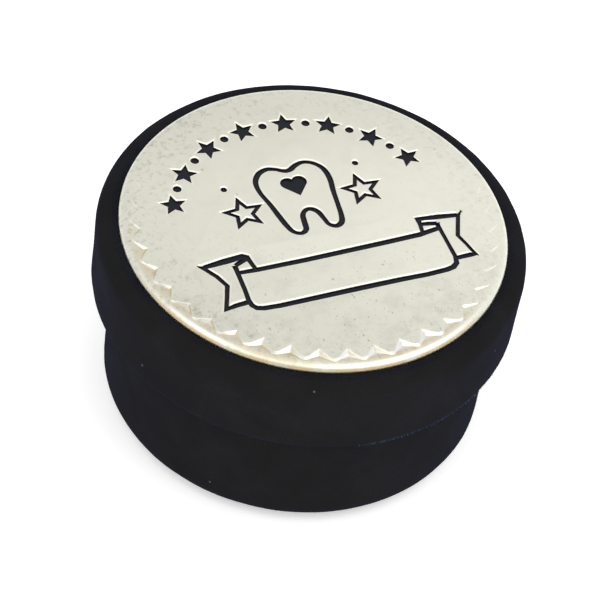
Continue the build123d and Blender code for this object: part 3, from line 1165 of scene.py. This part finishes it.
# Felt, lining and cushions


def felt_disc():
    """The die-cut felt that the box stands on, its cut edge a little furry."""
    radius, bottom, top = sole_high.x, sole_low.z, sole_high.z
    steps = 300
    fur = ruffled_ring(radius, 0, 0.7 * mm, 0.07 * mm, even_angles(steps))
    corner = 0.25 * mm
    outline = [(0, top), (6 * mm, top), (12 * mm, top)]
    outline += arc((radius - corner, top - corner), corner, 90, 0, 5)
    outline += arc((radius - corner, bottom + corner), corner, 0, -90, 5)
    outline += [(12 * mm, bottom), (6 * mm, bottom), (0, bottom)]
    rings = [(r + fur if r > 15 * mm else r, z) for r, z in outline]
    return turned("felt_sole", rings, [felt], steps)


def lining_band():
    """The satin-faced card round the inside, one end lapped over the other at the back."""
    inner, outer = 19.85 * mm, lining_high.x
    bottom, top = lining_low.z, lining_high.z
    lap = math.radians(118)
    steps = 360
    angles = even_angles(steps)
    past_lap = (angles - lap) % full_turn
    lift = 0.2 * mm * np.exp(-past_lap / math.radians(14))
    swell = ruffled_ring(20, 0, 9, 0.06 * mm, angles)
    face = inner - lift + swell
    edge = 0.12 * mm
    rings = [
        (face + edge, bottom), (face, bottom + edge), (face, (bottom + top) / 2), (face, top - edge),
        (face + edge * 0.4, top - edge * 0.3), (face + edge, top), (outer - edge, top),
        (outer, top - edge), (outer, bottom + edge), (outer - edge, bottom),
    ]
    band = turned("satin_lining", rings, [lining_satin], steps, loop=True)
    wrap_map(band, inner)
    band.data.set_sharp_from_angle(angle=math.radians(50))
    return band


def wrap_map(piece, radius):
    """A map in metres: round the piece across, and up it along."""
    mesh = piece.data
    layer = mesh.uv_layers.new(name="round")
    for face in mesh.polygons:
        turns = [math.atan2(mesh.vertices[v].co.y, mesh.vertices[v].co.x) for v in face.vertices]
        for corner, vertex, turn in zip(face.loop_indices, face.vertices, turns):
            if max(turns) - min(turns) > math.pi and turn < 0:
                turn += full_turn
            layer.data[corner].uv = (mesh.vertices[vertex].co.z, turn * radius)


stage_scale = 10.0
fill_frames = 20
tuck_count = 30


def cushion_profile(radius, side, crown, hem, gap):
    """Evenly spaced points from the top's middle, over the shoulder, down the side and under."""
    shoulder = 0.45 * side
    tuck = 0.25 * side
    rough = []
    for k in range(60):
        share = k / 59
        rough.append(((radius - shoulder) * share, side + crown * math.cos(math.pi / 2 * share) ** 0.9))
    rough += arc((radius - shoulder, side - shoulder), shoulder, 90, 0, 14)
    rough += arc((radius - tuck, tuck), tuck, 0, -90, 10)
    rough.append((radius - hem, 0.0))
    steps = [math.hypot(r1 - r0, z1 - z0) for (r0, z0), (r1, z1) in zip(rough, rough[1:])]
    lengths = np.concatenate([[0.0], np.cumsum(steps)])
    wanted = np.linspace(0, lengths[-1], round(lengths[-1] / gap) + 1)
    rs, zs = zip(*rough)
    return list(zip(np.interp(wanted, lengths, rs), np.interp(wanted, lengths, zs)))


def slack_cover(name, radius, side, crown, hem, gap, seed):
    """A round cushion cover before it is filled, with the tucks of its drawn-in edge started."""
    draw = random.Random(seed)
    tucks = [
        (draw.uniform(0, full_turn), draw.uniform(0.05, 0.1), draw.uniform(0.5, 1.0))
        for _ in range(tuck_count)
    ]
    profile = cushion_profile(radius, side, crown, hem, gap)[1:]
    rings = [(r, z, 6 * max(1, round(r / gap))) for r, z in profile]
    rings += [(r, 0.0, 6 * max(1, round(r / gap / 4))) for r in np.linspace(radius - hem, 0, 8)[1:-1]]
    points, starts = [(0.0, 0.0, side + crown)], []
    for r, z, count in rings:
        starts.append(len(points))
        fade = max(0.0, (r / radius - 0.5) / 0.5) ** 2
        for k in range(count):
            a = full_turn * k / count
            off = [((a - middle + math.pi) % full_turn - math.pi) / width for middle, width, depth in tucks]
            pull = 0.0025 * fade * sum(tuck[2] * math.exp(-o * o) for o, tuck in zip(off, tucks))
            points.append(((r - pull) * math.cos(a), (r - pull) * math.sin(a), z - pull * 0.6 * (z > 0)))
    counts = [count for r, z, count in rings]
    faces = [(0, 1 + k, 1 + (k + 1) % counts[0]) for k in range(counts[0])]
    for number in range(1, len(rings)):
        faces += strip(starts[number - 1], counts[number - 1], starts[number], counts[number])
    under = len(points)
    points.append((0.0, 0.0, 0.0))
    faces += [(starts[-1] + (k + 1) % counts[-1], starts[-1] + k, under) for k in range(counts[-1])]
    cover = mesh_piece(name, points, faces, [cushion_satin])
    held = cover.vertex_groups.new(name="held")
    held.add([v.index for v in cover.data.vertices if v.co.z < side * 0.08], 1.0, "REPLACE")
    return cover


def fill_cover(cover, pressure, slack, cap, limit):
    """Fills the cover: a pressed cloth simulation with its hem held, then one subdivision.

    No point may end further than cap from where it began, nor outside the radius limit.
    """
    start = np.array([v.co for v in cover.data.vertices])
    cloth = cover.modifiers.new("filling", "CLOTH")
    for key, value in {
        "quality": 7, "mass": 0.2, "tension_stiffness": 18, "compression_stiffness": 18, "shear_stiffness": 6,
        "bending_stiffness": 0.35, "air_damping": 3.0, "use_pressure": True,
        "uniform_pressure_force": pressure, "shrink_min": -slack, "vertex_group_mass": "held",
    }.items():
        setattr(cloth.settings, key, value)
    cloth.settings.effector_weights.gravity = 0.0
    cloth.collision_settings.use_collision = False
    cloth.collision_settings.use_self_collision = False
    scene = bpy.context.scene
    for number in range(1, fill_frames + 1):
        scene.frame_set(number)
    filled = frozen(cover, cover.name + "_filled")
    scene.frame_set(1)
    moved = np.array([v.co for v in filled.data.vertices]) - start
    far = np.linalg.norm(moved, axis=1)
    moved *= np.minimum(1.0, cap / np.maximum(far, 1e-9))[:, None]
    placed = start + moved
    reach = np.hypot(placed[:, 0], placed[:, 1])
    pressed = np.minimum(1.0, limit / np.maximum(reach, 1e-9))
    placed[:, 0] *= pressed
    placed[:, 1] *= pressed
    placed[:, 2] = np.maximum(placed[:, 2], 0.0)
    for vertex, place in zip(filled.data.vertices, placed):
        vertex.co = place
    return filled


def cushion(name, low, high, face_up, side, crown, seed):
    """A satin cushion in the space of its CAD solid, filled ten times its size and brought back."""
    radius = high.x
    cover = slack_cover(
        name + "_cover", (radius - 0.25 * mm) * stage_scale, side * stage_scale, crown * stage_scale,
        hem=4.0 * mm * stage_scale, gap=0.42 * mm * stage_scale, seed=seed,
    )
    limit = (radius - 0.02 * mm) * stage_scale
    filled = fill_cover(cover, pressure=4.0, slack=0.07, cap=0.009, limit=limit)
    smoother = filled.modifiers.new("smoother", "SUBSURF")
    smoother.levels = smoother.render_levels = 1
    pad = frozen(filled, name)
    place = Matrix.Translation((0, 0, low.z if face_up else high.z))
    flip = Matrix.Identity(4) if face_up else Matrix.Rotation(math.pi, 4, "X")
    pad.data.transform(place @ flip @ Matrix.Scale(1 / stage_scale, 4))
    pad.data.update()
    return pad


def foam_core(name, node, face_up, radius):
    """The foam inside a cushion: a cut disc that the cover's tucks press round toward its edge."""
    low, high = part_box(node)
    depth = high.z - low.z
    pressed_from = 11 * mm
    steps = 180
    angles = even_angles(steps)
    outline = [(0, 0), (radius - 0.1 * depth, 0), (radius, 0.1 * depth)]
    for r in radius * (1 - np.linspace(0, 1, 19) ** 1.5):
        pressed = (max(0.0, r - pressed_from) / (radius - pressed_from)) ** 2.2
        outline.append((r, depth * (0.98 - 0.73 * pressed - 0.05 * (r / radius) ** 2)))
    rings = []
    for r, z in outline:
        height = low.z + z if face_up else high.z - z
        if r == 0:
            rings.append((0, height))
            continue
        play = ruffled_ring(r, z, 1.5 * mm, 0.04 * mm, angles)
        rings.append((r + play - 0.04 * mm, height))
    return turned(name, rings, [foam], steps)


# Making and fitting the pieces

plate = stamp_plate()
lid_cloth = lid_wrap()
base_cloth = base_wrap()
pile_tree = make_pile_tree()
hem_heights = (lid_low.z - 0.1 * mm, lid_low.z + 0.3 * mm)
side_heights = (lid_low.z - 1.2 * mm, lid_low.z - 0.1 * mm)
seam_heights = (lid_low.z + 0.2 * mm, lid_low.z + 0.4 * mm)
top_heights = (lid_high.z - 0.1 * mm, lid_high.z + 0.2 * mm)
lid_side, base_side = (24.0 * mm, 26 * mm), (22.0 * mm, 24 * mm)
plate_side = (22.62 * mm, 22.95 * mm)
# The edge pile and the seam fluff take the bluer finishes, painted sheen.
lid_hem_pile = pile_edge(
    pile_tree, lid_cloth, "lid_edge_pile", hem_heights, lid_side, density=2.2e7, seed=3, finish=sheen_tips_velvet
)
base_pile = pile_edge(
    pile_tree, base_cloth, "base_side_pile", side_heights, base_side, density=9e6, seed=5, finish=sheen_tips_velvet
)
seam_pile = pile_edge(
    pile_tree, lid_cloth, "lid_seam_fluff", seam_heights, lid_side, density=5.5e7, seed=8,
    finish=sheen_fluff_velvet, toward=-50.0, least_reach=16.5 * mm,
)
top_pile = pile_edge(
    pile_tree, lid_cloth, "plate_side_pile", top_heights, plate_side, density=5e7, seed=13,
    finish=sheen_tips_velvet,
)
sole = felt_disc()
band = lining_band()
base_cushion = cushion(
    "base_cushion", base_pad_low, base_pad_high, face_up=True, side=3.2 * mm, crown=1.35 * mm, seed=11
)
lid_cushion = cushion(
    "lid_cushion", lid_pad_low, lid_pad_high, face_up=False, side=1.9 * mm, crown=0.75 * mm, seed=23
)
base_foam = foam_core("base_foam_core", "base_pad_foam", face_up=True, radius=18.4 * mm)
lid_foam = foam_core("lid_foam_core", "lid_pad_foam", face_up=False, radius=16.9 * mm)

for piece, body, node, slot in (
    (plate, "lid", "pewter_plate", "pewter"),
    (lid_cloth, "lid", "lid_velvet", "navy_velvet"),
    (base_cloth, "base", "base_velvet", "navy_velvet"),
    (sole, "base", "base_sole", "felt"),
    (band, "base", "base_lining", "lining_card"),
    (base_cushion, "base", "base_pad_cover", "ivory_satin"),
    (lid_cushion, "lid", "lid_pad_cover", "ivory_satin"),
    (base_foam, "base", "base_pad_foam", "foam"),
    (lid_foam, "lid", "lid_pad_foam", "foam"),
):
    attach(piece, body)
    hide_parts(node)
for piece, body in ((lid_hem_pile, "lid"), (seam_pile, "lid"), (top_pile, "lid"), (base_pile, "base")):
    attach(piece, body)

for node, finish in (
    ("base_cup", shell_plastic),
    ("lid_cap", shell_plastic),
    ("base_pad_card", card),
    ("lid_pad_card", card),
    ("plate_tape", tape),
):
    for slot in nodes[node].material_slots:
        slot.material = finish


# Camera, stage and lights


def photo_camera():
    """The camera at the photograph's place, leaned as the photograph is."""
    turn, rise, lean = math.radians(-29.47), math.radians(46.48), math.radians(9.78)
    away = 319.55 * mm
    aim = Vector((-0.08 * mm, 0.16 * mm, 13.48 * mm))
    back = Vector((math.sin(turn) * math.cos(rise), -math.cos(turn) * math.cos(rise), math.sin(rise)))
    level = Vector((math.cos(turn), math.sin(turn), 0))
    right = level * math.cos(lean) + back.cross(level) * math.sin(lean)
    up = back.cross(right)
    lens = bpy.data.cameras.new("photo_camera")
    lens.lens = 162
    lens.sensor_width = 36
    lens.clip_start, lens.clip_end = 0.01, 10
    camera = new_object("photo_camera", lens)
    axes = Matrix((right, up, back)).transposed().to_4x4()
    camera.matrix_world = Matrix.Translation(aim + back * away) @ axes
    bpy.context.scene.camera = camera


def pale_floor():
    """A wide sheet of white paper under the box."""
    material, tree, shader = new_material(
        "pale_paper", Specular_IOR_Level=0.1, Emission_Strength=0.42, Emission_Color=(1, 1, 1, 1)
    )
    grain, clouds = effect(tree, grain_group, Grain_scale=1800.0, Cloud_scale=30.0)
    feed(shader.inputs["Base Color"], blended(clouds, (0.9, 0.9, 0.9, 1), (0.95, 0.95, 0.95, 1)))
    feed(shader.inputs["Roughness"], grain.ramp(-2.0, 1.0))
    rings = [(0, -0.02 * mm)] + [(reach, -0.02 * mm) for reach in (0.1, 0.4, 1.2, 2.5)]
    floor = turned("paper_floor", rings, [material], 96)


def softbox(name, turn, rise, size, radiance, away=0.8, colour=(1, 1, 1)):
    """A square soft light that looks at the box from that direction, in degrees and metres."""
    a, e = math.radians(turn), math.radians(rise)
    back = Vector((math.sin(a) * math.cos(e), -math.cos(a) * math.cos(e), math.sin(e)))
    light = bpy.data.lights.new(name, "AREA")
    light.shape = "SQUARE"
    light.size = size
    light.energy = radiance * math.pi * size**2
    light.color = colour
    lamp = new_object(name, light)
    lamp.location = back * away
    lamp.rotation_mode = "QUATERNION"
    lamp.rotation_quaternion = back.to_track_quat("Z", "Y")


def soft_world(strength):
    world = bpy.data.worlds.new("studio_white")
    world.use_nodes = True
    back = world.node_tree.nodes["Background"]
    back.inputs["Color"].default_value = (1, 1, 1, 1)
    back.inputs["Strength"].default_value = strength
    bpy.context.scene.world = world


photo_camera()
pale_floor()
soft_world(0.8)
softbox("front_softbox", turn=-10, rise=78, size=0.6, radiance=0.35)
softbox("left_front_softbox", turn=-84, rise=54, size=0.5, radiance=1.0)
softbox("right_front_softbox", turn=42, rise=60, size=0.6, radiance=1.1)
softbox("right_softbox", turn=95, rise=18, size=0.5, radiance=0.2, away=0.9, colour=(0.75, 0.85, 1.0))
bpy.context.scene.view_settings.view_transform = "Standard"
